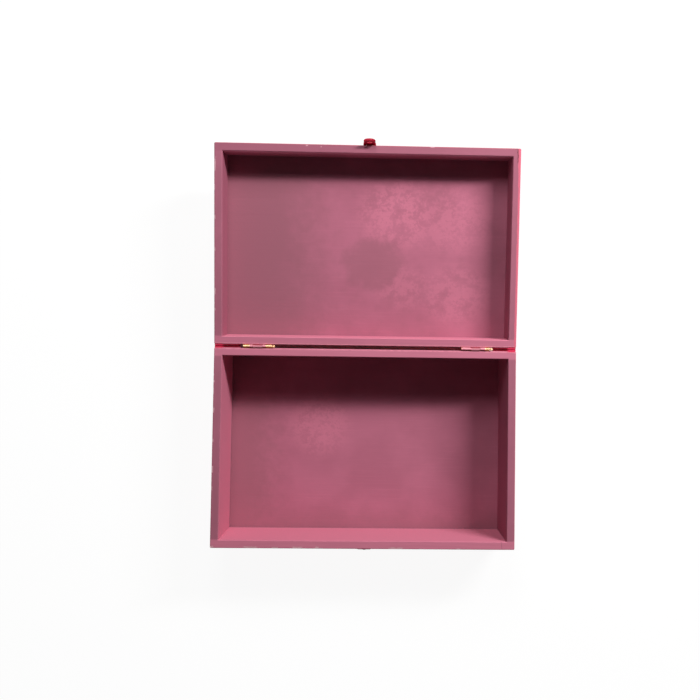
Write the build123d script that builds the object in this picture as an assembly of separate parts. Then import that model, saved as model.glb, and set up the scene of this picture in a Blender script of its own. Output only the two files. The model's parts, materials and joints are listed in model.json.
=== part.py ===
from build123d import *
import os
from math import radians, tan

# A lidded wooden box, standing open. Millimetres and degrees.
# The origin is the middle of the base's underside: +X right, +Y to the hinges, +Z up.

# Box and lid boards
box_width = 305.0
box_depth = 200.0
wall = 8.0
box_inner_height = 62.0
lid_inner_height = 30.0
base_thickness = 4.0
top_thickness = 4.0
corner_round = 1.2
rim_ease = 0.6

# Finger joints of the corners, counted down the wall from the rim
box_fingers = 5
lid_fingers = 3

# How the lid meets the box
rim_seam = 0.3
lid_opening = 174.0
stop_gap = 0.3

# Butt hinges, screwed to the two back walls
hinge_length = 28.8
left_hinge_inset = 43.5
right_hinge_inset = 41.5
leaf_height = 11.0
leaf_thickness = 0.8
leaf_corner = 1.6
knuckle_radius = 1.6
knuckle_count = 3
knuckle_side_gap = 0.25
knuckle_face_gap = 0.1
pin_fit = 0.04
pin_head_radius = 1.5
pin_crown_radius = 0.9
pin_head_length = 1.8

# Hinge screws
screw_spacing = 18.0
screw_drop = 6.5
screw_shank_radius = 1.0
screw_head_radius = 1.9
screw_crown_radius = 1.2
screw_length = 6.0
screw_slot_width = 0.45
screw_slot_depth = 0.35
screw_hole_fit = 0.05

# Latch: plate and swinging tongue on the lid, catch plate with a bent lug on the box
latch_offset = 1.0
latch_plate_width = 14.0
latch_plate_height = 10.0
latch_sheet = 0.7
latch_corner = 1.6
latch_knuckle_radius = 1.5
latch_face_gap = 0.1
latch_barrel = 12.6
latch_middle_knuckle = 6.0
pivot_above_rim = 3.5
tongue_width = 11.6
tongue_reach = 10.6
tongue_corner = 1.6
tongue_lean = 8.0
tongue_gap = 0.3
lip_radius = 1.6
lip_bend = 130.0
lug_reach = 7.4
lug_width = 3.2
lug_height = 1.7
slot_width = 4.8
slot_height = 2.2
catch_plate_height = 12.6
catch_plate_drop = 1.6

# Latch tacks, square in the shank
tack_spacing = 8.4
tack_drop = 6.4
catch_tack_drop = 15.4
tack_shank = 1.1
tack_head_radius = 1.3
tack_crown_radius = 0.8
tack_head_height = 0.7
tack_length = 6.0
tack_hole_fit = 0.05

# Places worked out from the sizes above
box_rim = base_thickness + box_inner_height
back_face = box_depth / 2
front_face = -box_depth / 2
hinge_offset = knuckle_radius + knuckle_face_gap
pin_radius = knuckle_radius - leaf_thickness - pin_fit
pin_y = back_face + hinge_offset
pin_z = box_rim + rim_seam / 2
fold = 180.0 - lid_opening
crown_drop = screw_drop - screw_crown_radius
screw_head_height = hinge_offset - leaf_thickness + crown_drop * tan(radians(fold / 2)) - stop_gap / 2
leaf_edge = knuckle_radius + stop_gap
left_hinge_x = -box_width / 2 + left_hinge_inset
right_hinge_x = box_width / 2 - right_hinge_inset
latch_out = latch_knuckle_radius + latch_face_gap
latch_pin_radius = latch_knuckle_radius - latch_sheet - pin_fit
hinge_line = Axis((0, pin_y, pin_z), (1, 0, 0))

# The lid is drawn lying flat behind the box, rim up, then raised about the hinge line
lid_rim = pin_z - rim_seam / 2
lid_back_y = pin_y + hinge_offset
lid_front_y = lid_back_y + box_depth
lid_centre_y = (lid_back_y + lid_front_y) / 2
lid_latch_z = lid_rim - pivot_above_rim
lid_latch_y = lid_front_y + latch_out


def raised(shape):
    return shape.rotate(hinge_line, fold)


def slab(x_size, y_size, bottom, top, x=0.0, y=0.0):
    return Pos(x, y, (bottom + top) / 2) * Box(x_size, y_size, top - bottom)


def group(shapes):
    # Separate solids that share one node
    return Compound(children=[shape.solid() for shape in shapes])


# Boards

def wall_ring(height):
    # The four walls as one block: rounded up the corners, eased along the rim's outer and inner edges
    block = Box(box_width, box_depth, height)
    block = fillet(block.edges().filter_by(Axis.Z), corner_round)
    ring = block - Box(box_width - 2 * wall, box_depth - 2 * wall, height)
    rim_edges = ring.faces().sort_by(Axis.Z)[-1].edges()
    return chamfer(rim_edges, rim_ease)


def corner_slices(height, fingers, first):
    # Every second finger of all four corners, starting with the first or second from the rim
    step = height / fingers
    slices = []
    for i in range(first, fingers, 2):
        z = height / 2 - (i + 0.5) * step
        for sx in (-1, 1):
            for sy in (-1, 1):
                x = sx * (box_width - wall) / 2
                y = sy * (box_depth - wall) / 2
                slices.append(Pos(x, y, z) * Box(wall, wall, step))
    return slices


def wall_boards(height, fingers):
    # Front and back boards hold the finger at the rim, left and right boards the one below
    ring = wall_ring(height)
    long_fingers = corner_slices(height, fingers, 0)
    side_fingers = corner_slices(height, fingers, 1)
    boards = {}
    for name, sy in (("front", -1), ("back", 1)):
        mask = Pos(0, sy * (box_depth - wall) / 2, 0) * Box(box_width - 2 * wall, wall, height)
        for piece in long_fingers:
            if piece.center().Y * sy > 0:
                mask = mask + piece
        boards[name] = ring & mask
    for name, sx in (("left", -1), ("right", 1)):
        mask = Pos(sx * (box_width - wall) / 2, 0, 0) * Box(wall, box_depth - 2 * wall, height)
        for piece in side_fingers:
            if piece.center().X * sx > 0:
                mask = mask + piece
        boards[name] = ring & mask
    return boards


def panel(thickness):
    # Outer face down, with its lower edge eased
    board = Box(box_width, box_depth, thickness)
    board = fillet(board.edges().filter_by(Axis.Z), corner_round)
    lower = board.faces().sort_by(Axis.Z)[0].edges()
    return chamfer(lower, rim_ease)


# Fasteners, drawn with the head's seat at the origin and the shank along -Y

def fastener_head(rim_radius, crown_radius, height):
    return Pos(0, 0, height / 2) * Cone(rim_radius, crown_radius, height)


def hinge_screw():
    length = screw_length + leaf_thickness
    head = fastener_head(screw_head_radius, screw_crown_radius, screw_head_height)
    screw = head + Pos(0, 0, -length / 2) * Cylinder(screw_shank_radius, length)
    slot_z = screw_head_height - screw_slot_depth / 2
    screw = screw - Pos(0, 0, slot_z) * Box(2 * screw_head_radius, screw_slot_width, screw_slot_depth)
    return Rot(-90, 0, 0) * screw


def latch_tack():
    length = tack_length + latch_sheet
    head = fastener_head(tack_head_radius, tack_crown_radius, tack_head_height)
    tack = head + Pos(0, 0, -length / 2) * Box(tack_shank, tack_shank, length)
    return Rot(-90, 0, 0) * tack


def bore_along_y(radius, length, x, y, z):
    return Pos(x, y, z) * Rot(90, 0, 0) * Cylinder(radius, length)


def tack_hole(length, x, y, z):
    side = tack_shank + 2 * tack_hole_fit
    return Pos(x, y, z) * Box(side, length, side)


# Hinges, drawn about the pin line, with the box's side towards -Y

def screw_places():
    return [(x, -screw_drop) for x in (-screw_spacing / 2, screw_spacing / 2)]


def hinge_leaf(outer_knuckles):
    # Sheet against the wood, cut back to the knuckles that it rolls into
    sheet_y = -hinge_offset + leaf_thickness / 2
    leaf = slab(hinge_length, leaf_thickness, -leaf_height, -leaf_edge, 0, sheet_y)
    low = leaf.edges().filter_by(Axis.Y).group_by(Axis.Z)[0]
    leaf = chamfer(low, leaf_corner)
    pitch = hinge_length / knuckle_count
    first = 0 if outer_knuckles else 1
    for i in range(first, knuckle_count, 2):
        x = -hinge_length / 2 + (i + 0.5) * pitch
        at_start = 0 if i == 0 else knuckle_side_gap / 2
        at_end = 0 if i == knuckle_count - 1 else knuckle_side_gap / 2
        length = pitch - at_start - at_end
        middle = x + (at_start - at_end) / 2
        leaf = leaf + slab(length, leaf_thickness, -leaf_edge, 0, middle, sheet_y)
        leaf = leaf + Pos(middle, 0, 0) * Rot(0, 90, 0) * Cylinder(knuckle_radius, length)
    leaf = leaf - Rot(0, 90, 0) * Cylinder(pin_radius + pin_fit, 2 * hinge_length)
    for x, z in screw_places():
        leaf = leaf - bore_along_y(screw_shank_radius + screw_hole_fit, 4 * leaf_thickness, x, sheet_y, z)
    return leaf


def hinge_pin():
    # A plain rod with a button head just clear of the last knuckle
    head_start = hinge_length / 2 + knuckle_side_gap
    length = head_start + hinge_length / 2
    rod = Pos(head_start - length / 2, 0, 0) * Rot(0, 90, 0) * Cylinder(pin_radius, length)
    head = Cone(pin_head_radius, pin_crown_radius, pin_head_length)
    return rod + Pos(head_start + pin_head_length / 2, 0, 0) * Rot(0, 90, 0) * head


def lid_side(shape):
    # The lid's half of a hinge is the box's half turned over across the pin line
    return shape.mirror(Plane.XZ)


def at_hinge(shape, x):
    return Pos(x, pin_y, pin_z) * shape


def screw_set(turned):
    screws = []
    for hinge_x in (left_hinge_x, right_hinge_x):
        for x, z in screw_places():
            screw = Pos(x, -hinge_offset + leaf_thickness, z) * hinge_screw()
            screws.append(at_hinge(lid_side(screw) if turned else screw, hinge_x))
    return screws


def screw_holes(turned):
    # Pilot holes in a back wall
    holes = []
    depth = screw_length + stop_gap
    for hinge_x in (left_hinge_x, right_hinge_x):
        for x, z in screw_places():
            hole = bore_along_y(screw_shank_radius + screw_hole_fit, depth, x, -hinge_offset - depth / 2, z)
            holes.append(at_hinge(lid_side(hole) if turned else hole, hinge_x))
    return holes


# Latch, drawn about its own pin line: wood at -Y, the rim and the tongue's end towards +Z

def plate_on_wood(width, height, top):
    sheet_y = -latch_out + latch_sheet / 2
    plate = slab(width, latch_sheet, top - height, top, 0, sheet_y)
    return plate, sheet_y


def tack_places(drop):
    return [(x, -drop) for x in (-tack_spacing / 2, tack_spacing / 2)]


def latch_plate():
    edge = latch_knuckle_radius + tongue_gap
    plate, sheet_y = plate_on_wood(latch_plate_width, latch_plate_height - edge, -edge)
    low = plate.edges().filter_by(Axis.Y).group_by(Axis.Z)[0]
    plate = chamfer(low, latch_corner)
    length = (latch_barrel - latch_middle_knuckle) / 2 - knuckle_side_gap
    for side in (-1, 1):
        x = side * (latch_barrel - length) / 2
        plate = plate + slab(length, latch_sheet, -edge, 0, x, sheet_y)
        plate = plate + Pos(x, 0, 0) * Rot(0, 90, 0) * Cylinder(latch_knuckle_radius, length)
    plate = plate - Rot(0, 90, 0) * Cylinder(latch_pin_radius + pin_fit, 2 * latch_plate_width)
    for x, z in tack_places(tack_drop):
        plate = plate - tack_hole(4 * latch_sheet, x, sheet_y, z)
    return plate


def tongue_outline():
    # Seen from the front: a neck at the knuckle, then the full width with cut shoulders
    neck_top = latch_knuckle_radius + 2 * tongue_gap
    top = tongue_reach + lip_radius + latch_sheet / 2
    blade = Rectangle(tongue_width, top - neck_top)
    blade = Pos(0, (neck_top + top) / 2) * chamfer(blade.vertices(), tongue_corner)
    neck = Pos(0, neck_top / 2 + tongue_corner / 2) * Rectangle(latch_middle_knuckle, neck_top + tongue_corner)
    slot = Pos(0, lug_reach) * Rectangle(slot_width, slot_height)
    return blade + neck - slot


def latch_tongue():
    # A strip that runs up past the rim and curls outwards into a finger lip
    sheet_y = -latch_out + latch_sheet + tongue_gap + latch_sheet / 2
    straight = Line((sheet_y, 0), (sheet_y, tongue_reach))
    curl = JernArc(straight @ 1, straight % 1, lip_radius, -lip_bend)
    path = Plane.YZ * (straight + curl)
    start = Plane(origin=(0, sheet_y, 0), x_dir=(1, 0, 0), z_dir=(0, 0, 1))
    strip = sweep(start * Rectangle(tongue_width, latch_sheet), path)
    outline = extrude(Plane.XZ * tongue_outline(), amount=4 * tongue_width, both=True)
    strip = strip & outline
    strip = strip + Rot(0, 90, 0) * Cylinder(latch_knuckle_radius, latch_middle_knuckle)
    return strip - Rot(0, 90, 0) * Cylinder(latch_pin_radius + pin_fit, 2 * tongue_width)


def latch_pin():
    return Rot(0, 90, 0) * Cylinder(latch_pin_radius, latch_barrel)


def catch_plate():
    # Drawn as it meets the shut latch: the same pin line, with the rim below the pin
    top = -(pivot_above_rim + rim_seam + catch_plate_drop)
    plate, sheet_y = plate_on_wood(latch_plate_width, catch_plate_height, top)
    plate = chamfer(plate.edges().filter_by(Axis.Y), latch_corner)
    lug_length = lug_height + latch_sheet / 2
    lug_low = -lug_reach - latch_sheet / 2
    plate = plate + slab(lug_width, lug_length, lug_low, lug_low + latch_sheet, 0, sheet_y + lug_length / 2)
    for x, z in tack_places(catch_tack_drop):
        plate = plate - tack_hole(4 * latch_sheet, x, sheet_y, z)
    return plate


def tacks(drop):
    return [Pos(x, -latch_out + latch_sheet, z) * latch_tack() for x, z in tack_places(drop)]


def tack_pilots(drop):
    # Pilot holes in a front wall
    depth = tack_length + stop_gap
    return [tack_hole(depth, x, -latch_out - depth / 2, z) for x, z in tack_places(drop)]


def on_lid_front(shape):
    return Pos(latch_offset, lid_latch_y, lid_latch_z) * shape


def on_box_front(shape):
    # Turned about the upright so that its wood side faces the front wall
    place = Pos(latch_offset, front_face - latch_out, box_rim + rim_seam + pivot_above_rim)
    return place * Rot(0, 0, 180) * shape


# The pieces, each under its node's name

def box_pieces():
    pieces = {"base_panel": Pos(0, 0, base_thickness / 2) * panel(base_thickness)}
    for name, board in wall_boards(box_inner_height, box_fingers).items():
        board = Pos(0, 0, base_thickness + box_inner_height / 2) * board
        if name == "back":
            for hole in screw_holes(False):
                board = board - hole
        if name == "front":
            for hole in tack_pilots(catch_tack_drop):
                board = board - on_box_front(hole)
        pieces[f"box_{name}_wall"] = board
    return pieces


def lid_pieces():
    floor_z = lid_rim - lid_inner_height
    pieces = {"lid_top_panel": Pos(0, lid_centre_y, floor_z - top_thickness / 2) * panel(top_thickness)}
    boards = wall_boards(lid_inner_height, lid_fingers)
    # Opened, the lid's front wall lies at the far side
    boards["front"], boards["back"] = boards["back"], boards["front"]
    for name, board in boards.items():
        board = Pos(0, lid_centre_y, floor_z + lid_inner_height / 2) * board
        if name == "back":
            for hole in screw_holes(True):
                board = board - hole
        if name == "front":
            for hole in tack_pilots(tack_drop):
                board = board - on_lid_front(hole)
        pieces[f"lid_{name}_wall"] = board
    return {name: raised(piece) for name, piece in pieces.items()}


def hinge_pieces():
    pieces = {}
    for side, x in (("left", left_hinge_x), ("right", right_hinge_x)):
        pieces[f"{side}_hinge_box_leaf"] = at_hinge(hinge_leaf(True), x)
        pieces[f"{side}_hinge_lid_leaf"] = raised(at_hinge(lid_side(hinge_leaf(False)), x))
        pieces[f"{side}_hinge_pin"] = at_hinge(hinge_pin(), x)
    pieces["box_hinge_screws"] = group(screw_set(False))
    pieces["lid_hinge_screws"] = group([raised(screw) for screw in screw_set(True)])
    return pieces


def latch_pieces():
    leaned = latch_tongue().rotate(Axis.X, -tongue_lean)
    lid_tacks = [raised(on_lid_front(tack)) for tack in tacks(tack_drop)]
    box_tacks = [on_box_front(tack) for tack in tacks(catch_tack_drop)]
    return {
        "latch_plate": raised(on_lid_front(latch_plate())),
        "latch_tongue": raised(on_lid_front(leaned)),
        "latch_pin": raised(on_lid_front(latch_pin())),
        "latch_catch": on_box_front(catch_plate()),
        "latch_plate_tacks": group(lid_tacks),
        "latch_catch_tacks": group(box_tacks),
    }


def main():
    os.makedirs("parts", exist_ok=True)
    pieces = {**box_pieces(), **lid_pieces(), **hinge_pieces(), **latch_pieces()}
    for name, piece in pieces.items():
        export_step(piece if len(piece.solids()) > 1 else piece.solid(), f"parts/{name}.step")
    latch_line = Pos(latch_offset, lid_latch_y, lid_latch_z) * Vertex(0, 0, 0)
    latch_line = latch_line.rotate(hinge_line, fold)
    print("hinge line", 0, round(pin_y, 4), round(pin_z, 4))
    print("latch line", [round(v, 4) for v in latch_line.center()])
    print("screw head height", round(screw_head_height, 3))


main()
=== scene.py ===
import json
import math

import bmesh
import bpy
from mathutils import Matrix, Vector


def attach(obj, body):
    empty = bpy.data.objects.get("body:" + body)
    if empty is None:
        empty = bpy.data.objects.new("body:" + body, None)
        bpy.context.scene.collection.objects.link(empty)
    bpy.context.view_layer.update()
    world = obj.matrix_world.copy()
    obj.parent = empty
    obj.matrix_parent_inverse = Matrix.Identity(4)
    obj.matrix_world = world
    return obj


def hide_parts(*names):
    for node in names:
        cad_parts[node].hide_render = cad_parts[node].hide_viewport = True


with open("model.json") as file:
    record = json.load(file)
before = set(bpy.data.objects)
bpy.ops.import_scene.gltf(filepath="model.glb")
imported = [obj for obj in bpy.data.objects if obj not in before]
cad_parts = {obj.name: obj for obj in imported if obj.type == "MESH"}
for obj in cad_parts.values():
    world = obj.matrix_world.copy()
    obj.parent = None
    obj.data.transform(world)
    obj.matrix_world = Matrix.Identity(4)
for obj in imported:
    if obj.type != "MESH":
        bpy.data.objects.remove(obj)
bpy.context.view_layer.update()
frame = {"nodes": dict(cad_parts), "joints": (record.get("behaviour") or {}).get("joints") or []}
print("frame loaded:", len(frame["nodes"]), "nodes")

mm = 0.001
near = 0.01  # within this many millimetres a point counts as on a plane

# The box and its opened lid, as the frame has them, in millimetres and degrees
box = {
    "halfWidth": 152.5,
    "halfDepth": 100.0,
    "wall": 8.0,
    "rim": 66.0,
    "depth": {"box": 66.0, "lid": 34.0},
    "fingers": {"box": 5, "lid": 3},
    "panel": 4.0,
    "fold": 6.0,
}
innerX = box["halfWidth"] - box["wall"]
innerY = box["halfDepth"] - box["wall"]
fold = math.radians(box["fold"])
joints = {joint["name"]: joint for joint in frame["joints"]}
hingeLine = Vector(joints["lid_hinge"]["pos_m"])
latchLine = Vector(joints["latch_swing"]["pos_m"])

# The middle of the lid's rim before the fold, as far behind the pins as the box's is before them
hingeOut = hingeLine.y - box["halfDepth"] * mm
lidMiddle = Vector((0, hingeLine.y + hingeOut + box["halfDepth"] * mm, box["rim"] * mm))


class Wire:
    # One output of a material's nodes. Sums on wires that carry values add Math nodes.
    def __init__(self, tree, socket=None):
        self.tree = tree
        self.socket = socket

    def node(self, kind, settings=None, inputs=None, out=0):
        made = self.tree.nodes.new("ShaderNode" + kind)
        for name, value in (settings or {}).items():
            setattr(made, name, value)
        for name, value in (inputs or {}).items():
            if isinstance(value, Wire):
                self.tree.links.new(value.socket, made.inputs[name])
            else:
                made.inputs[name].default_value = value
        return Wire(self.tree, made.outputs[out] if made.outputs else None)

    def maths(self, how, *values):
        return self.node("Math", {"operation": how}, dict(enumerate(values)))

    def __add__(self, other):
        return self.maths("ADD", self, other)

    def __sub__(self, other):
        return self.maths("SUBTRACT", self, other)

    def __rsub__(self, other):
        return self.maths("SUBTRACT", other, self)

    def __mul__(self, other):
        return self.maths("MULTIPLY", self, other)

    def __truediv__(self, other):
        return self.maths("DIVIDE", self, other)

    __radd__ = __add__
    __rmul__ = __mul__

    def least(self, other):
        return self.maths("MINIMUM", self, other)

    def most(self, other):
        return self.maths("MAXIMUM", self, other)

    def size(self):
        return self.maths("ABSOLUTE", self)

    def floor(self):
        return self.maths("FLOOR", self)

    def fraction(self):
        return self.maths("FRACT", self)

    def rise(self, low, high):
        # 0 below low, 1 above high, smooth between; low may be above high
        return self.node("MapRange", {"interpolation_type": "SMOOTHSTEP"},
                         {"Value": self, "From Min": low, "From Max": high})

    def axes(self):
        return [self.node("SeparateXYZ", {}, {0: self}, out) for out in range(3)]

    def mapped(self, **inputs):
        return self.node("Mapping", {}, {"Vector": self, **inputs})

    def noise(self, scale, detail, rough, stretch=(1, 1, 1), twist=0.0):
        return self.node("TexNoise", {}, {"Vector": self.mapped(Scale=stretch), "Scale": scale,
                                          "Detail": detail, "Roughness": rough,
                                          "Distortion": twist})

    def colour(self, rgb):
        made = self.node("RGB")
        made.socket.default_value = (*rgb, 1)
        return made

    def blend(self, factor, other):
        return self.node("Mix", {"data_type": "RGBA"}, {0: factor, 6: self, 7: other}, 2)

    def coat(self, where, rgb):
        # One plain colour laid over this one
        return self.blend(where, self.colour(rgb))


def newMaterial(name):
    material = bpy.data.materials.new(name)
    material.use_nodes = True
    material.node_tree.nodes.clear()
    return material, Wire(material.node_tree)


def finishMaterial(wire, fixed, varying, bumps):
    # bumps are (height, strength, distance in metres), laid one over the other
    normal = {}
    for height, strength, distance in bumps:
        bump = wire.node("Bump", {}, {"Height": height, "Strength": strength,
                                      "Distance": distance, **normal})
        normal = {"Normal": bump}
    shader = wire.node("BsdfPrincipled", {}, {**fixed, **varying, **normal})
    wire.node("OutputMaterial", {}, {"Surface": shader})


def setMaterial(thing, material):
    thing.data.materials.clear()
    thing.data.materials.append(material)


def inMillimetres(wire):
    coords = wire.node("TexCoord", {}, {}, "Object")
    return coords.mapped(Scale=(1000, 1000, 1000))


# Painted boards. Both halves use one paint, read in a half's own frame in millimetres:
# x along the hinges, y from front to back on the box and from hinges to front on the lid,
# z up from the rim.
paint = {
    "mauve": (0.515, 0.158, 0.238),
    "mauveDeep": (0.375, 0.112, 0.168),
    "mauveGrey": (0.365, 0.125, 0.172),
    "mauvePale": (0.700, 0.215, 0.310),
    "arrisPale": (0.800, 0.265, 0.360),
    "undercoat": (0.800, 0.450, 0.500),
    "crimson": (0.500, 0.008, 0.036),
    "crimsonDeep": (0.270, 0.003, 0.015),
    # Painted shade, then painted light, at the ends of the hinge gap
    "crimsonShade": (0.170, 0.003, 0.011),
    "gapEndLight": (0.800, 0.040, 0.110),
    "lappedPale": (0.800, 0.170, 0.250),
    "darkLine": (0.110, 0.030, 0.040),
    "arrisLap": 0.30,
    "specular": 0.16,
    "mattRough": 0.70,
    "glossRough": 0.26,
    "chipRough": 0.8,
}

# Patterns in the paint: scale per millimetre, detail, roughness, stretch and twist.
# The stretch is for a board along x.
patterns = {
    "wander": (0.09, 4.0, 0.6, (1, 1, 1), 0.0),
    "fine": (0.9, 3.0, 0.6, (1, 1, 1), 0.0),
    "blots": (0.30, 4.0, 0.62, (1, 1, 1), 0.4),
    "cloudy": (0.018, 3.0, 0.5, (1, 1, 1), 0.0),
    "rubs": (0.16, 5.0, 0.7, (0.5, 0.5, 1), 0.0),
    "strokes": (0.5, 3.0, 0.6, (0.05, 1, 1), 0.0),
    "grain": (0.22, 5.0, 0.65, (0.03, 1, 1), 0.6),
}

# The two floors: the x where the grey begins and where it is full, how far that line strays and
# how grey it gets, then the middles, half lengths and strengths of the pale spots, which are
# chalky paint with painted sheen on it
floors = {
    "box": {
        "grey": (-75, -125, 50, 0.85),
        "pale": [((-50, 18), (42, 42), 0.8)],
        "greyFront": (-62, -95, 20, 0.7),
    },
    "lid": {
        "grey": (-10, -100, 60, 0.95),
        "pale": [((32, 34), (52, 46), 1.0), ((88, 30), (50, 44), 0.7),
                 ((38, -40), (40, 30), 0.6), ((92, -48), (46, 40), 0.7)],
        "dull": ((4, -15), (42, 36)),
    },
}

# Chips down to the undercoat: middle x and y, half length along x and along y
chips = {
    "box": [
        (-152, 37, 1.2, 3.4), (-152, 7, 1.0, 2.4), (-152, -22, 1.3, 4.2),
        (-152, -41, 1.0, 2.6), (-152, 66, 0.9, 1.8), (-112, -99.6, 8, 1.9),
        (-88, -99.6, 5, 1.6), (-66, -99.6, 6, 2.1), (-46, -99.6, 2.4, 2.2),
        (33, -99.6, 9, 1.7), (96, -99.6, 3, 1.3), (-150.6, -98.8, 2.2, 1.6),
    ],
    "lid": [
        (-152, 79, 1.4, 8.0), (-152, 27, 1.1, 2.6), (-152, -5, 1.0, 2.2),
        (-152, -47, 1.2, 3.4), (-152, -65, 1.0, 2.0), (-61, 98.6, 1.4, 0.9),
        (-47, 97.6, 0.8, 0.7), (64, 99.6, 3, 0.8),
    ],
}
scratch = {"x": 139.4, "y": -96, "slant": 0.12}  # across the box's front rim


def halfPlace(wire, isLid):
    # Object coordinates turned and moved into the half's own frame
    coords = wire.node("TexCoord", {}, {}, "Object")
    if isLid:
        turn = Matrix.Rotation(-fold, 3, "X")
        shift = hingeLine - turn @ hingeLine - lidMiddle
        flat = coords.mapped(Rotation=(-fold, 0, 0), Location=shift)
    else:
        flat = coords.mapped(Location=(0, 0, -box["rim"] * mm))
    return flat.mapped(Scale=(1000, 1000, 1000))


class Boards:
    # What all coats on one half's boards go by: places, patterns and the rim, floor and walls
    def __init__(self, wire, half, alongX):
        self.wire = wire
        self.half = half
        self.isLid = half == "lid"
        self.alongX = alongX
        self.depth = box["depth"][half]
        self.floorTop = box["panel"] - self.depth
        place = halfPlace(wire, self.isLid)
        self.x, self.y, self.z = place.axes()
        self.hingeSide = self.y * (-1 if self.isLid else 1)

        # How far inwards of the outer faces a point lies
        self.fromSides = box["halfWidth"] - self.x.size()
        self.fromEnds = box["halfDepth"] - self.y.size()
        self.inwards = self.fromSides.least(self.fromEnds)

        for name, (scale, detail, rough, (first, second, third), twist) in patterns.items():
            stretch = (first, second, third) if alongX else (second, first, third)
            setattr(self, name, place.noise(scale, detail, rough, stretch, twist))
        self.stray = self.wander - 0.5

        self.onRim = self.z.rise(-1.2, -0.2)
        onFloor = self.z.rise(self.floorTop + 4.3, self.floorTop + 3.3)
        self.onFloor = onFloor * (1 - self.onRim)
        self.inWalls = self.z.rise(-0.1, -0.6) * (1 - self.onFloor)


def softSpot(at, middle, spread):
    # 1 in the middle of an ellipse, 0 at its edge
    dx = (at.x - middle[0]) / spread[0]
    dy = (at.y - middle[1]) / spread[1]
    return (dx * dx + dy * dy).rise(1.0, 0.0)


def mauveFloor(at):
    # Cloudy and brushed all over; the floor is greyer towards the left, and has pale spots of
    # chalky paint with painted sheen on them, specked darker; a dull spot on the lid has none of
    # the sheen
    ground = floors[at.half]
    mauve = at.wire.colour(paint["mauve"])
    mauve = mauve.coat(at.cloudy.rise(0.62, 0.36) * 0.35, paint["mauveDeep"])
    mauve = mauve.coat(at.strokes.rise(0.50, 0.74) * 0.12, paint["mauvePale"])

    begins, full, strays, share = ground["grey"]
    grey = (at.x + at.stray * strays).rise(begins, full) * share
    patches = None
    for middle, spread, strength in ground["pale"]:
        spot = softSpot(at, middle, spread) * strength
        patches = patches.most(spot) if patches else spot
    if at.isLid:
        # A dull spot on the lid has none of the painted sheen and is greyer
        dull = 1 - softSpot(at, *ground["dull"]) + at.stray * 1.4 + (at.cloudy - 0.5)
        dull = dull.rise(1.05, 0.15)
        grey = grey.most(dull * 0.6)
        patches = patches * (1 - dull * 0.85)
    else:
        begins, full, strays, share = ground["greyFront"]
        grey = grey.most((at.y + at.stray * strays).rise(begins, full) * share)
    mauve = mauve.coat(at.onFloor * grey, paint["mauveGrey"])

    # Pale spots of chalky paint with painted sheen on them, specked darker
    mottle = at.blots + (at.fine - 0.5) * 0.4
    chalkAndSheen = at.onFloor * patches * (0.3 + (mottle + at.stray * 1.2).rise(0.38, 0.62) * 0.7)
    mauve = mauve.coat(chalkAndSheen * 0.62, paint["mauvePale"])
    specks = at.onFloor * patches * mottle.rise(0.36, 0.28)
    return mauve.coat(specks * 0.35, paint["mauveDeep"])


def wallLightAndShade(at, mauve):
    # Inside, painted light and shade: the wall nearest the viewer faces the lamps and is paler,
    # the left wall is paler on the box and darker on the lid, and the right wall, turned from
    # the lamps, is darker
    sideTone = "mauveDeep" if at.isLid else "mauvePale"
    for face, share, tone in ((at.y.rise(1.0 - innerY, 0.1 - innerY), 0.95, "mauvePale"),
                              (at.x.rise(1.1 - innerX, 0.2 - innerX), 0.75, sideTone),
                              (at.x.rise(innerX - 1.1, innerX - 0.2), 0.85, "mauveDeep")):
        mauve = mauve.coat(at.inWalls * face * share, paint[tone])
    return mauve


def mauveRims(at, mauve):
    # The rims at the hinges, and the box's front rim, are paler; the others are greyer, and the
    # lid's front rim darker left of its middle
    atHinges = at.hingeSide.rise(innerY - 1.5, innerY + 0.5)
    mauve = mauve.coat(at.onRim * atHinges * (0.35 + at.strokes * 0.5), paint["mauvePale"])
    greyerRims = at.onRim * (1 - atHinges)
    if not at.isLid:
        frontRim = at.onRim * at.hingeSide.rise(1.5 - innerY, -0.5 - innerY)
        mauve = mauve.coat(frontRim * (0.45 + at.strokes * 0.7), paint["mauvePale"])
        greyerRims = greyerRims * (1 - frontRim)
    mauve = mauve.coat(greyerRims * (0.25 + at.wander * 0.6), paint["mauveGrey"])
    if at.isLid:
        frontLeft = at.onRim * at.y.rise(innerY - 1.0, innerY + 0.5) * at.x.rise(20, -20)
        mauve = mauve.coat(frontLeft * 0.5, paint["mauveDeep"])

    # Paler arrises: a painted highlight along the inner arris at the hinges, and paler patches
    # on the arris at the gap
    innerArrisHighlight = (at.inwards - box["wall"]).size().rise(0.55, 0.15) * at.z.rise(-1.2, -0.3)
    innerArrisHighlight = innerArrisHighlight * at.hingeSide.rise(88, 91) * (0.2 + at.wander.rise(0.3, 0.6) * 0.6)
    mauve = mauve.coat(innerArrisHighlight, paint["arrisPale"])
    atGap = at.inwards.rise(2.0, 1.4) * at.inwards.rise(0.3, 0.6)
    atGap = atGap * at.onRim * at.hingeSide.rise(97, 98)
    return mauve.coat(atGap * (0.35 + at.blots.rise(0.4, 0.6) * 0.65), paint["arrisPale"])


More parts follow.
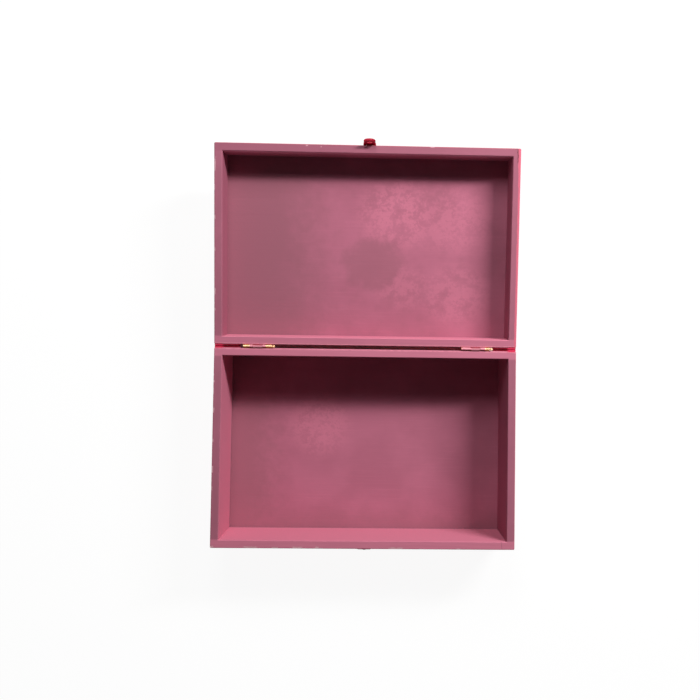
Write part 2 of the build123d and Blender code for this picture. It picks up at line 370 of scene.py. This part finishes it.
def redCoats(at, colour):
    # Crimson outside, wrapped a little over the arris, but less of it at the gap
    reach = at.inwards + at.stray * 0.5 + at.hingeSide.rise(98, 99) * at.z.rise(-1.1, -0.5) * 0.4
    outside = reach.rise(paint["arrisLap"] + 0.15, paint["arrisLap"] - 0.1)
    outside = outside.most(at.z.rise(0.9 - at.depth, 0.6 - at.depth))
    crimson = at.wire.colour(paint["crimson"])
    crimson = crimson.coat(at.strokes.rise(0.40, 0.75) * 0.35, paint["crimsonDeep"])
    colour = colour.blend(outside, crimson)

    # Painted light at the ends of the gap, where light comes in from the sides, less of it at
    # the left end, and painted shade where the thick paint there reaches inwards
    gapEndLight = at.hingeSide.rise(98.9, 99.3) * (at.fromSides + at.stray * 6).rise(9.5, 7.0)
    proud = at.inwards.rise(-0.15, -0.3)
    gapEndLight = gapEndLight * at.onRim.most(proud)
    glossy = outside.most(gapEndLight)
    colour = colour.coat(proud * at.fromSides.rise(7.0, 11.0) * 0.9, paint["crimsonShade"])

    # All along the lid's right rim the crimson laps over too, with a dark line beside it near
    # the front
    if at.isLid:
        lap = 2.2 + at.stray * 2.4 + at.y.rise(60, 100) * 0.7
        beyondLap = box["halfWidth"] - at.x - lap
        alongRight = beyondLap.rise(0.25, -0.25) * at.onRim
        darkLine = (beyondLap - 0.35 + (at.blots - 0.5) * 2.5).size().rise(0.65, 0.3)
        colour = colour.coat(darkLine * at.y.rise(84, 88) * at.onRim * 0.9, paint["darkLine"])
        colour = colour.coat(alongRight * 0.9, paint["lappedPale"])
        glossy = glossy.most(alongRight)
    # Less painted light at the left end of the gap, which lies in more shade
    gapEndLight = gapEndLight * 0.95 * (1 - at.x.rise(0, -20) * 0.4)
    return colour.coat(gapEndLight, paint["gapEndLight"]), glossy


def chippedPlaces(at):
    # Rubs and chips on the outer arrises, more of them at the left and on the box's front
    worn = at.x.rise(-146, -152) * 0.7
    if not at.isLid:
        worn = worn.most(at.y.rise(-97, -99.5))
    atArris = at.inwards.rise(1.2, 0.4) * at.z.rise(-1.6, -0.6)
    chipped = atArris * (at.rubs + worn * 0.09).rise(0.64, 0.67)
    ragged = (at.blots - 0.5) * 1.2 + (at.fine - 0.5) * 0.8
    for middleX, middleY, longX, longY in chips[at.half]:
        spot = ((at.x - middleX) / longX).size().most(((at.y - middleY) / longY).size())
        chipped = chipped.most((spot + ragged).rise(0.9, 0.6) * at.z.rise(-1.1, -0.5) * 0.8)
    return chipped


def seamLines(at):
    # The finger joints and the panel's edge show through the paint as fine lines
    lineWidth = (0.22, 0.08)
    step = (at.depth - box["panel"]) / box["fingers"][at.half]
    fromCorner = at.fromSides.most(at.fromEnds)
    count = at.z / -step
    odd = (count.floor() * 0.5).fraction() * 2
    ownFinger = odd if at.alongX else 1 - odd
    level = ((count + 0.5).fraction() - 0.5).size() * step
    seam = level.rise(*lineWidth) * fromCorner.rise(box["wall"], box["wall"] - 0.1)
    seam = seam.most((fromCorner - box["wall"]).size().rise(*lineWidth) * ownFinger)
    seam = seam.most((at.z + at.depth - box["panel"]).size().rise(*lineWidth))
    seam = seam * at.z.rise(-0.8, -1.0) * at.inwards.rise(0.5, 0.2) * (0.45 + at.wander)
    return seam * at.z.rise(at.floorTop - 0.5, at.floorTop - 0.3)


def paintedBoards(name, half, alongX):
    material, wire = newMaterial(name)
    at = Boards(wire, half, alongX)
    mauve = mauveRims(at, wallLightAndShade(at, mauveFloor(at)))
    colour, glossy = redCoats(at, mauve)
    if not at.isLid:
        across = at.x - scratch["x"] + (at.y - scratch["y"]) * scratch["slant"]
        line = at.onRim * across.size().rise(0.45, 0.1) * at.y.rise(-90, -92)
        colour = colour.coat(line * 0.7, paint["mauveDeep"])
    chipped = chippedPlaces(at)
    colour = colour.coat(chipped * 0.8, paint["undercoat"])
    seam = seamLines(at)
    colour = colour.coat(seam * 0.55, paint["crimsonDeep"])

    rough = paint["mattRough"] + (at.fine - 0.5) * 0.25
    rough = rough + glossy * (paint["glossRough"] + (at.strokes - 0.5) * 0.25 - rough)
    rough = rough + chipped * (paint["chipRough"] - rough)
    bumps = [
        (at.grain, 0.35, 0.00025),
        (at.strokes, 0.30, 0.00020),
        (at.fine, 0.20, 0.00010),
        (1 - chipped, 0.5, 0.00015),
        (1 - seam, 0.6, 0.00020),
    ]
    finishMaterial(wire, {"Specular IOR Level": paint["specular"]},
                   {"Base Color": colour, "Roughness": rough}, bumps)
    return material


# Brass of the hinges, and where the brush that did the rims smeared their knuckles too:
# the middle and half length of each smear along x, and the height that it starts at
brassLook = {
    "clean": (0.88, 0.55, 0.30),
    "tarnished": (0.48, 0.26, 0.10),
    "rough": 0.24,
    "smears": [(-108.9, 8.6), (108.7, 12.6)],
    "smearFrom": 64.6,
    "smearRough": 0.55,
}


def brassMaterial(name):
    material, wire = newMaterial(name)
    place = inMillimetres(wire)
    tarnish = place.noise(0.35, 4.0, 0.6)
    colour = wire.colour(brassLook["clean"])
    colour = colour.coat(tarnish.rise(0.45, 0.70) * 0.7, brassLook["tarnished"])
    x, y, z = place.axes()
    ragged = (tarnish - 0.5) * 5
    left, right = [(x - middle + ragged).size().rise(reach, reach - 1.0)
                   for middle, reach in brassLook["smears"]]
    above = (z + ragged * 0.4).rise(brassLook["smearFrom"], brassLook["smearFrom"] + 0.8)
    smeared = left.most(right) * above
    colour = colour.coat(smeared * 0.92, paint["arrisPale"])
    rough = brassLook["rough"] + tarnish * 0.25
    rough = rough + smeared * (brassLook["smearRough"] - rough)
    finishMaterial(wire, {}, {"Base Color": colour, "Roughness": rough, "Metallic": 1 - smeared},
                   [(tarnish, 0.2, 0.0001), (smeared, 0.5, 0.00012)])
    return material


# The latch was painted over along with the outside
latchLook = {
    "specular": 0.22,
    "rough": 0.26,
}


def latchMaterial(name):
    material, wire = newMaterial(name)
    streaks = inMillimetres(wire).noise(0.30, 4.0, 0.6)
    colour = wire.colour(paint["crimson"])
    # More of the deep crimson than on the boards: streaky paint, and painted shade darkening the
    # latch
    colour = colour.coat(streaks.rise(0.42, 0.70) * 0.7, paint["crimsonDeep"])
    finishMaterial(wire, {"Specular IOR Level": latchLook["specular"]},
                   {"Base Color": colour, "Roughness": latchLook["rough"] + streaks * 0.2},
                   [(streaks, 0.3, 0.0002)])
    return material


def dressBoards():
    for half, panel in (("box", "base_panel"), ("lid", "lid_top_panel")):
        across = paintedBoards(half + "PaintAcross", half, True)
        along = paintedBoards(half + "PaintAlong", half, False)
        for nodeName in (panel, half + "_front_wall", half + "_back_wall"):
            setMaterial(frame["nodes"][nodeName], across)
        for nodeName in (half + "_left_wall", half + "_right_wall"):
            setMaterial(frame["nodes"][nodeName], along)


dressBoards()
brass = brassMaterial("hingeBrass")
latchPaint = latchMaterial("latchPaint")
print("materials made")


# Small helpers for modelling by hand in code. Hardware is drawn in millimetres and shrunk when
# it is placed.
def pick(*things):
    bpy.ops.object.select_all(action="DESELECT")
    for thing in things:
        thing.select_set(True)
    bpy.context.view_layer.objects.active = things[0]


def startEdit(thing):
    pick(thing)
    bpy.ops.object.mode_set(mode="EDIT")
    bpy.ops.mesh.select_all(action="SELECT")


def endEdit():
    bpy.ops.object.mode_set(mode="OBJECT")


def choose(kind, test):
    # Selects the edges or faces whose middle passes the test
    bpy.ops.mesh.select_all(action="DESELECT")
    bpy.ops.mesh.select_mode(type=kind)
    mesh = bmesh.from_edit_mesh(bpy.context.object.data)
    for part in mesh.edges if kind == "EDGE" else mesh.faces:
        corners = [corner.co for corner in part.verts]
        part.select_set(test(sum(corners, Vector()) / len(corners), part))
    mesh.select_flush_mode()
    bmesh.update_edit_mesh(bpy.context.object.data)


def runsAlong(edge, axis):
    way = (edge.verts[0].co - edge.verts[1].co).normalized()
    return abs(way[axis]) > 0.99


def facesUp(face):
    return face.normal.z > 0.9


def facesDown(face):
    return face.normal.z < -0.9


def cutAcross(axis, places):
    for place in places:
        bpy.ops.mesh.select_all(action="SELECT")
        spot = [0, 0, 0]
        way = [0, 0, 0]
        spot[axis] = place
        way[axis] = 1
        bpy.ops.mesh.bisect(plane_co=spot, plane_no=way)


def extrudeBy(*move):
    bpy.ops.mesh.extrude_region_move(TRANSFORM_OT_translate={"value": move})


def settle(name):
    # Names a new primitive and moves its place into its mesh
    thing = bpy.context.object
    thing.name = name
    bpy.ops.object.transform_apply(location=True, rotation=True, scale=True)
    return thing


def block(name, size, middle):
    bpy.ops.object.select_all(action="DESELECT")
    bpy.ops.mesh.primitive_cube_add(size=1, location=middle)
    bpy.context.object.scale = size
    return settle(name)


def roundBar(name, radius, low, high, corners=24):
    # A cylinder along z
    bpy.ops.object.select_all(action="DESELECT")
    bpy.ops.mesh.primitive_cylinder_add(vertices=corners, radius=radius, depth=high - low,
                                        location=(0, 0, (low + high) / 2))
    return settle(name)


def layAlongX(thing):
    thing.data.transform(Matrix.Rotation(math.radians(90), 4, "Y"))


def grow(rings, start):
    # Carries the chosen end face through rings of (height, radius)
    height, radius = start
    for newHeight, newRadius in rings:
        extrudeBy(0, 0, newHeight - height)
        share = newRadius / radius
        bpy.ops.transform.resize(value=(share, share, 1))
        height, radius = newHeight, newRadius


def dome(radius, rise, shares):
    # Rings of a ball's cap at shares of its rise
    curve = (radius ** 2 + rise ** 2) / (2 * rise)
    heights = [rise * share for share in shares]
    return [(z, math.sqrt(curve ** 2 - (z - rise + curve) ** 2)) for z in heights]


def applyTo(thing, modifier):
    pick(thing)
    bpy.ops.object.modifier_apply(modifier=modifier.name)


def combine(thing, other, how):
    cut = thing.modifiers.new(how, "BOOLEAN")
    cut.object = other
    cut.operation = how
    cut.solver = "EXACT"
    applyTo(thing, cut)
    bpy.data.objects.remove(other)


def soften(thing, width, segments, angle):
    edge = thing.modifiers.new("edges", "BEVEL")
    edge.width = width
    edge.segments = segments
    edge.limit_method = "ANGLE"
    edge.angle_limit = math.radians(angle)
    edge.use_clamp_overlap = True
    applyTo(thing, edge)
    bpy.ops.object.shade_smooth_by_angle(angle=math.radians(angle))
    even = thing.modifiers.new("normals", "WEIGHTED_NORMAL")
    even.keep_sharp = True
    even.weight = 60
    applyTo(thing, even)


def copyOf(thing, name):
    twin = thing.copy()
    twin.data = thing.data.copy()
    twin.name = name
    bpy.context.scene.collection.objects.link(twin)
    return twin


def joinAll(things, name):
    pick(*things)
    bpy.ops.object.join()
    things[0].name = name
    return things[0]


def rolledPlate(name, part, width, spans):
    # A flat plate drawn about the pin line, with the wood towards -y; the spans of its top edge
    # are drawn up and rolled round the pin
    top = -part["barrel"] - part["gap"]
    plate = block(name, (width, part["sheet"], part["height"] + top),
                  (0, part["sheet"] / 2 - part["toWood"], (top - part["height"]) / 2))
    startEdit(plate)
    choose("EDGE", lambda at, edge: runsAlong(edge, 1) and at.z < -part["height"] + near)
    bpy.ops.mesh.bevel(offset=part["corner"], segments=5)
    cutAcross(0, [side for span in spans for side in span if abs(side) < width / 2 - near])
    choose("FACE", lambda at, face: at.z > top - near
           and any(low < at.x < high for low, high in spans))
    extrudeBy(0, part["toWood"] - part["barrel"], -top)
    bpy.ops.mesh.spin(steps=part["rollSteps"], angle=math.radians(part["roll"]),
                      center=(0, 0, 0), axis=(-1, 0, 0))
    endEdit()
    soften(plate, part["edge"], 2, 50)
    return plate


def onPlate(model, name, part, along, drop, twist=0, spot=Matrix()):
    # A copy of a screw or tack with its head out on a plate, drop below the pin line
    one = copyOf(model, name)
    seat = Vector((along, part["sheet"] - part["toWood"], -drop))
    turn = Matrix.Rotation(math.radians(-90), 4, "X")
    turn = turn @ Matrix.Rotation(math.radians(twist), 4, "Z")
    one.data.transform(spot @ Matrix.Translation(seat) @ turn)
    return one


def place(thing, matrix, material, body, slot, *nodes):
    # Drawn in millimetres, put in metres; the object itself stays at the origin
    thing.data.transform(matrix @ Matrix.Scale(mm, 4))
    setMaterial(thing, material)
    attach(thing, body)
    if nodes:
        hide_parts(*nodes)


# Butt hinges with rolled knuckles, in millimetres and degrees
hinge = {
    "places": {"left": -109.0, "right": 111.0},
    "length": 28.8,
    "height": 11.0,
    "sheet": 0.8,
    "barrel": 1.6,
    "toWood": 1.7,
    "corner": 1.6,
    "gap": 0.3,
    "knuckleGap": 0.25,
    "roll": 292,
    "rollSteps": 26,
    "pin": 0.76,
    "ball": 1.5,
    "screwApart": 18.0,
    "screwDrop": 6.5,
    "screwHead": 1.9,
    "screwRise": 1.09,
    "screwShank": [(-0.06, 1.0), (-5.6, 1.0), (-6.6, 0.25)],
    "screwSlot": (0.5, 0.8),
    "screwTurns": (12, 70, -38, 95, 150, 31, -64, 118),
    "edge": 0.10,
}


def hingePin(name):
    half = hinge["length"] / 2
    ballAt = half + hinge["knuckleGap"] + hinge["ball"]
    pin = roundBar(name, hinge["pin"], -half, half)
    startEdit(pin)
    choose("FACE", lambda at, face: at.z > half - near and facesUp(face))
    steps = [math.radians(angle) for angle in range(30, 180, 15)]
    grow([(ballAt - hinge["ball"] * math.cos(step), hinge["ball"] * math.sin(step))
          for step in steps], (half, hinge["pin"]))
    choose("FACE", lambda at, face: at.z < -half + near and facesDown(face))
    grow([(-half - 0.12, hinge["pin"] * 0.7)], (-half, hinge["pin"]))
    endEdit()
    soften(pin, 0.08, 2, 50)
    layAlongX(pin)
    return pin


def slottedScrew(name):
    # Head up, seat at z = 0
    head, rise = hinge["screwHead"], hinge["screwRise"]
    under, skirt = -0.05, 0.12
    screw = roundBar(name, head, under, skirt, 32)
    startEdit(screw)
    choose("FACE", lambda at, face: facesUp(face))
    grow(dome(head, rise, (0.32, 0.52, 0.70, 0.84, 0.94, 0.99)), (skirt, head))
    choose("FACE", lambda at, face: facesDown(face))
    grow(hinge["screwShank"], (under, head))
    endEdit()
    slotWide, slotDeep = hinge["screwSlot"]
    cutter = block("slotCutter", (2 * head + 1, slotWide, slotDeep), (0, 0, rise))
    combine(screw, cutter, "DIFFERENCE")
    soften(screw, 0.06, 1, 45)
    return screw


def addHinges():
    end = hinge["length"] / 2
    clear = hinge["knuckleGap"] / 2
    sixth = hinge["length"] / 6
    leftLeaves = {
        "box": rolledPlate("leftHingeBoxLeaf", hinge, hinge["length"],
                           [(-end, -sixth - clear), (sixth + clear, end)]),
        "lid": rolledPlate("leftHingeLidLeaf", hinge, hinge["length"],
                           [(clear - sixth, sixth - clear)]),
    }
    leftPin = hingePin("leftHingePin")
    rightLeaves = {"box": copyOf(leftLeaves["box"], "rightHingeBoxLeaf"),
                   "lid": copyOf(leftLeaves["lid"], "rightHingeLidLeaf")}
    sides = {"left": (leftLeaves, leftPin),
             "right": (rightLeaves, copyOf(leftPin, "rightHingePin"))}
    screw = slottedScrew("hingeScrew")
    screws = {"box": [], "lid": []}
    twists = iter(hinge["screwTurns"])
    halfTurn = Matrix.Rotation(math.pi, 4, "Z")
    for side, x in hinge["places"].items():
        leaves, pin = sides[side]
        boxSide = Matrix.Translation(hingeLine + Vector((x * mm, 0, 0)))
        lidSide = boxSide @ Matrix.Rotation(fold, 4, "X") @ halfTurn
        place(leaves["box"], boxSide, brass, "box", "hinge_brass", side + "_hinge_box_leaf")
        place(leaves["lid"], lidSide, brass, "lid", "hinge_brass", side + "_hinge_lid_leaf")
        place(pin, boxSide, brass, "box", "hinge_brass", side + "_hinge_pin")
        spot = Matrix.Translation(Vector((x, 0, 0)))
        for half, own in (("box", spot), ("lid", spot @ halfTurn)):
            for along in (-hinge["screwApart"] / 2, hinge["screwApart"] / 2):
                screws[half].append(onPlate(screw, "screw", hinge, along, hinge["screwDrop"],
                                            next(twists), own))
    bpy.data.objects.remove(screw)
    for half, turn in (("box", 0), ("lid", fold)):
        matrix = Matrix.Translation(hingeLine) @ Matrix.Rotation(turn, 4, "X")
        place(joinAll(screws[half], half + "HingeScrews"), matrix, brass, half, "hinge_brass",
              half + "_hinge_screws")


# Beads of thick paint on both back edges, at the two ends of the hinge gap: the x where each
# starts and ends, how long it tapers, then rows of height from the pin line and how proud it is
runs = {
    "left": (-126.3, -152.2),
    "right": (128.5, 152.2),
    "tail": 1.5,
    "tailShare": 0.6,
    "pieces": 16,
    "box": [(-0.6, 1.5), (-2.0, 1.4)],
    "lid": [(-0.6, 1.5), (-2.2, 1.8), (-3.0, 2.5), (-3.7, 2.4)],
}


def paintRun(name, inner, outer, rows):
    # Drawn about the pin line like the leaves, and thinner towards its inner end
    top, bottom = rows[0][0], rows[-1][0]
    face = -hinge["toWood"]
    run = block(name, (abs(outer - inner), 1.0, top - bottom),
                ((inner + outer) / 2, face + 0.5, (top + bottom) / 2))
    startEdit(run)
    cutAcross(0, [inner + (outer - inner) * share / runs["pieces"]
                  for share in range(1, runs["pieces"])])
    cutAcross(2, [z for z, proud in rows[1:-1]])
    endEdit()
    for corner in run.data.vertices:
        at = corner.co
        if at.y > face + 0.5:
            proud = min(rows, key=lambda row: abs(row[0] - at.z))[1]
            grown = (1 - runs["tailShare"]) * abs(at.x - inner) / runs["tail"]
            share = min(1, runs["tailShare"] + grown)
            at.y = face + proud * share + math.sin(at.x * 1.7) * 0.05
    soften(run, 0.3, 3, 60)
    return run


def addRuns():
    toPin = Matrix.Translation(hingeLine)
    toLid = toPin @ Matrix.Rotation(fold, 4, "X") @ Matrix.Rotation(math.pi, 4, "Z")
    for side in ("left", "right"):
        inner, outer = runs[side]
        for half, matrix, turned in (("box", toPin, 1), ("lid", toLid, -1)):
            name = side + half.title() + "PaintRun"
            run = paintRun(name, inner * turned, outer * turned, runs[half])
            paintedBack = frame["nodes"][half + "_back_wall"].data.materials[0]
            place(run, matrix, paintedBack, half, "painted_wood")


# The latch, drawn about its own pin line: the rim and the tongue's end are towards +z, and the
# reach, the lug and the catch are measured from that line
latch = {
    "x": 1.0,
    "width": 14.0,
    "height": 10.0,
    "sheet": 0.7,
    "corner": 2.0,
    "barrel": 1.5,
    "barrelSpan": 12.6,
    "toWood": 1.6,
    "middle": 6.0,
    "knuckleGap": 0.25,
    "gap": 0.3,
    "roll": 285,
    "rollSteps": 24,
    "tongueWidth": 11.6,
    "reach": 10.6,
    "shoulder": 1.4,
    "lean": 8.0,
    "lip": 1.4,
    "bend": 130,
    "bendSteps": 12,
    "arch": 1.3,
    "archCuts": (-1.5, 0, 1.5),
    "slot": (4.8, 2.2),
    "slotCorner": 0.4,
    "lugAt": 7.4,
    "lug": (3.2, 0.7),
    "lugCorner": 0.6,
    "pin": 0.76,
    "bore": 0.80,
    "catch": (-5.4, -18.0),
    "aboveRim": 3.8,
    "tacks": 8.4,
    "tackDrop": 6.4,
    "catchTackDrop": 15.4,
    "tackHead": 1.3,
    "tackRise": 0.7,
    "tackShank": (1.1, 6.4),
    "tackTip": 0.25,
    "edge": 0.12,
}


def latchTongue(name):
    # Cut flat with its slot, then the end is curled outwards and the neck rolled round the pin
    wide, sheet, reach = latch["tongueWidth"] / 2, latch["sheet"], latch["reach"]
    y = latch["gap"] + 1.5 * sheet - latch["toWood"]
    neckTop = latch["barrel"] + 2 * latch["gap"]
    end = reach + math.radians(latch["bend"]) * latch["lip"]
    blade = block(name, (2 * wide, sheet, end - neckTop), (0, y, (end + neckTop) / 2))
    startEdit(blade)
    choose("EDGE", lambda at, edge: runsAlong(edge, 1))
    bpy.ops.mesh.bevel(offset=latch["shoulder"], segments=5)
    slotWide, slotHigh = latch["slot"][0] / 2, latch["slot"][1] / 2
    neck = latch["middle"] / 2
    cutAcross(0, [-slotWide, -neck, *latch["archCuts"], neck, slotWide])
    steps = latch["bendSteps"]
    curlCuts = [reach + (end - reach) * step / steps for step in range(steps)]
    cutAcross(2, [latch["lugAt"] - slotHigh, latch["lugAt"] + slotHigh] + curlCuts)
    choose("FACE", lambda at, face: abs(face.normal.y) > 0.9 and abs(at.x) < slotWide
           and abs(at.z - latch["lugAt"]) < slotHigh)
    bpy.ops.mesh.bridge_edge_loops()
    choose("EDGE", lambda at, edge: runsAlong(edge, 1) and abs(abs(at.x) - slotWide) < near
           and abs(abs(at.z - latch["lugAt"]) - slotHigh) < near)
    bpy.ops.mesh.bevel(offset=latch["slotCorner"], segments=3)
    choose("FACE", lambda at, face: facesDown(face) and at.z < neckTop + near
           and abs(at.x) < neck)
    extrudeBy(0, 0, -neckTop)
    endEdit()
    for corner in blade.data.vertices:
        at = corner.co
        if at.z > latch["lugAt"] + slotHigh + 0.1:
            at.z -= latch["arch"] * (at.x / wide) ** 2 * (at.z - reach) / (end - reach)
        over = at.z - reach
        if over > 0:
            angle = over / latch["lip"]
            ring = latch["lip"] - (at.y - y)
            at.y = y + latch["lip"] - ring * math.cos(angle)
            at.z = reach + ring * math.sin(angle)
    barrel = roundBar("tongueBarrel", latch["barrel"], -neck, neck, 28)
    layAlongX(barrel)
    combine(blade, barrel, "UNION")
    bore = roundBar("tongueBore", latch["bore"], -10, 10, 20)
    layAlongX(bore)
    combine(blade, bore, "DIFFERENCE")
    soften(blade, latch["edge"], 2, 45)
    return blade


def latchPin(name):
    half = latch["barrelSpan"] / 2 - 0.1
    pin = roundBar(name, latch["pin"], -half, half, 20)
    startEdit(pin)
    choose("FACE", lambda at, face: abs(face.normal.z) > 0.9)
    bpy.ops.mesh.inset(thickness=0.25, depth=0.1, use_individual=True)
    endEdit()
    soften(pin, 0.06, 2, 50)
    layAlongX(pin)
    return pin


def latchCatch(name):
    top, bottom = latch["catch"]
    face = latch["sheet"] - latch["toWood"]
    plate = block(name, (latch["width"], latch["sheet"], top - bottom),
                  (0, face - latch["sheet"] / 2, (top + bottom) / 2))
    startEdit(plate)
    choose("EDGE", lambda at, edge: runsAlong(edge, 1))
    bpy.ops.mesh.bevel(offset=latch["corner"], segments=5)
    endEdit()
    sunk = 0.3  # how deep the lug reaches into the plate
    lugWide, lugRise = latch["lug"]
    lug = block("lug", (lugWide, lugRise + sunk, latch["sheet"]),
                (0, face + (lugRise - sunk) / 2, -latch["lugAt"]))
    startEdit(lug)
    choose("EDGE", lambda at, edge: runsAlong(edge, 2) and at.y > face)
    bpy.ops.mesh.bevel(offset=latch["lugCorner"], segments=4)
    endEdit()
    combine(plate, lug, "UNION")
    soften(plate, latch["edge"], 2, 50)
    return plate


def roundTack(name):
    # Domed head, seat at z = 0, and a square-cut shank that tapers to its tip
    head, skirt = latch["tackHead"], 0.08
    tack = roundBar(name, head, -0.04, skirt, 24)
    startEdit(tack)
    choose("FACE", lambda at, face: facesUp(face))
    grow(dome(head, latch["tackRise"], (0.4, 0.68, 0.88, 0.98)), (skirt, head))
    endEdit()
    thick, long = latch["tackShank"]
    shank = block("shank", (thick, thick, long), (0, 0, -long / 2))
    startEdit(shank)
    choose("FACE", lambda at, face: facesDown(face))
    bpy.ops.transform.resize(value=(latch["tackTip"], latch["tackTip"], 1))
    endEdit()
    combine(tack, shank, "UNION")
    soften(tack, 0.05, 1, 50)
    return tack


def addLatch():
    onLid = Matrix.Translation(latchLine) @ Matrix.Rotation(fold, 4, "X")
    leaning = onLid @ Matrix.Rotation(math.radians(-latch["lean"]), 4, "X")
    onBox = Vector((latch["x"], -box["halfDepth"] - latch["toWood"],
                    box["rim"] + latch["aboveRim"])) * mm
    onBox = Matrix.Translation(onBox) @ Matrix.Rotation(math.pi, 4, "Z")
    outer = latch["barrelSpan"] / 2
    inner = latch["middle"] / 2 + latch["knuckleGap"]
    plate = rolledPlate("latchPlate", latch, latch["width"], [(-outer, -inner), (inner, outer)])
    place(plate, onLid, latchPaint, "lid", "painted_latch", "latch_plate")
    place(latchTongue("latchTongue"), leaning, latchPaint, "latch_tongue", "painted_latch",
          "latch_tongue")
    place(latchPin("latchPin"), onLid, latchPaint, "lid", "painted_latch", "latch_pin")
    place(latchCatch("latchCatch"), onBox, latchPaint, "box", "painted_latch", "latch_catch")
    tack = roundTack("roundTack")
    for name, body, matrix, drop, node in (
            ("latchPlateTacks", "lid", onLid, latch["tackDrop"], "latch_plate_tacks"),
            ("latchCatchTacks", "box", onBox, latch["catchTackDrop"], "latch_catch_tacks")):
        pair = [onPlate(tack, "tack", latch, along, drop)
                for along in (-latch["tacks"] / 2, latch["tacks"] / 2)]
        place(joinAll(pair, name), matrix, latchPaint, body, "painted_latch", node)
    bpy.data.objects.remove(tack)


addHinges()
print("hinges modelled")
addRuns()
print("beads of paint modelled")
addLatch()
print("latch modelled")


# Camera: close overhead, a little to the right of the box's middle; in millimetres and degrees
view = {
    "place": (12.16, 90.14, 845.20),
    "turn": (2.0291, -1.6153, 0.7694),
    "lens": 39.605,
    "sensor": 36,
    "shift": (-0.0708, -0.0257),
}


def addCamera():
    data = bpy.data.cameras.new("photoCamera")
    data.lens = view["lens"]
    data.sensor_width = view["sensor"]
    data.shift_x, data.shift_y = view["shift"]
    camera = bpy.data.objects.new("photoCamera", data)
    camera.location = Vector(view["place"]) * mm
    camera.rotation_euler = [math.radians(angle) for angle in view["turn"]]
    bpy.context.scene.collection.objects.link(camera)
    bpy.context.scene.camera = camera


# Lamps: the two ends of each lamp's middle line in metres, how thick it is, and its watts
lamps = {
    "backWindow": ((-0.11, 0.68, 1.00), (-0.07, 1.14, 0.80), 0.34, 5.8),
    "rightWindow": ((0.50, 0.80, 0.93), (1.02, 0.80, 0.75), 0.14, 15.5),
    "lowFront": ((-0.7, -1.2, 0.03), (0.7, -1.2, 0.03), 0.05, 4.0),
    "lowLeft": ((-1.3, -0.5, 0.03), (-1.3, 0.7, 0.03), 0.05, 4.0),
    "lowRight": ((1.3, -0.5, 0.03), (1.3, 0.7, 0.03), 0.05, 4.0),
}


def addLamps():
    aim = Vector((0, 0.1, 0.05))
    for name, (start, end, thickness, watts) in lamps.items():
        start, end = Vector(start), Vector(end)
        data = bpy.data.lights.new(name, "AREA")
        data.shape = "RECTANGLE"
        data.size = (end - start).length
        data.size_y = thickness
        data.energy = watts
        back = ((start + end) / 2 - aim).normalized()
        long = (end - start).normalized()
        across = back.cross(long).normalized()
        turn = Matrix((across.cross(back), across, back)).transposed()
        lamp = bpy.data.objects.new(name, data)
        lamp.matrix_world = Matrix.Translation((start + end) / 2) @ turn.to_4x4()
        lamp.visible_camera = False
        bpy.context.scene.collection.objects.link(lamp)


# Sky and floor, in metres. The floor's plain part is as large as the opened object.
studio = {
    "skyLight": 0.030,
    "skyInGloss": 0.6,
    "floorSize": 12,
    "floorDrop": 0.0004,
    "floorGrey": 0.85,
    "floorWhite": 1.06,
    "whiteShare": 0.88,
    "plainMiddle": 0.1,
    "plainHalf": (0.152, 0.200),
    "plainEdge": 0.008,
}


def addWorld():
    world = bpy.data.worlds.new("studio")
    bpy.context.scene.world = world
    world.use_nodes = True
    world.node_tree.nodes.clear()
    wire = Wire(world.node_tree)
    camera, glossy, through = [wire.node("LightPath", {}, {}, "Is " + ray + " Ray")
                               for ray in ("Camera", "Glossy", "Transmission")]
    seen = camera.most(glossy * studio["skyInGloss"]).most(through)
    sky = wire.node("Background", {}, {"Color": (1, 1, 1, 1),
                                       "Strength": seen.most(studio["skyLight"])})
    wire.node("OutputWorld", {}, {"Surface": sky})


def addFloor():
    bpy.ops.object.select_all(action="DESELECT")
    bpy.ops.mesh.primitive_plane_add(size=studio["floorSize"],
                                     location=(0, 0, -studio["floorDrop"]))
    floor = bpy.context.object
    floor.name = "paleFloor"
    material, wire = newMaterial("paleFloor")
    # White to the camera, but plain under the object, where its shadow is deep
    x, y = wire.node("TexCoord", {}, {}, "Object").axes()[:2]
    halfX, halfY = studio["plainHalf"]
    beyond = (x.size() - halfX).most((y - studio["plainMiddle"]).size() - halfY)
    clear = beyond.rise(0.0, studio["plainEdge"])
    seen = wire.node("LightPath", {}, {}, "Is Camera Ray")
    grey = studio["floorGrey"]
    plain = wire.node("BsdfDiffuse", {}, {"Color": (grey, grey, grey, 1)})
    white = wire.node("Emission", {}, {"Color": (1, 1, 1, 1), "Strength": studio["floorWhite"]})
    mixed = wire.node("MixShader", {}, {0: seen * clear * studio["whiteShare"],
                                        1: plain, 2: white})
    wire.node("OutputMaterial", {}, {"Surface": mixed})
    floor.data.materials.append(material)


addCamera()
addLamps()
addWorld()
addFloor()
bpy.context.scene.view_settings.view_transform = "Standard"
print("studio set")

bpy.context.view_layer.update()
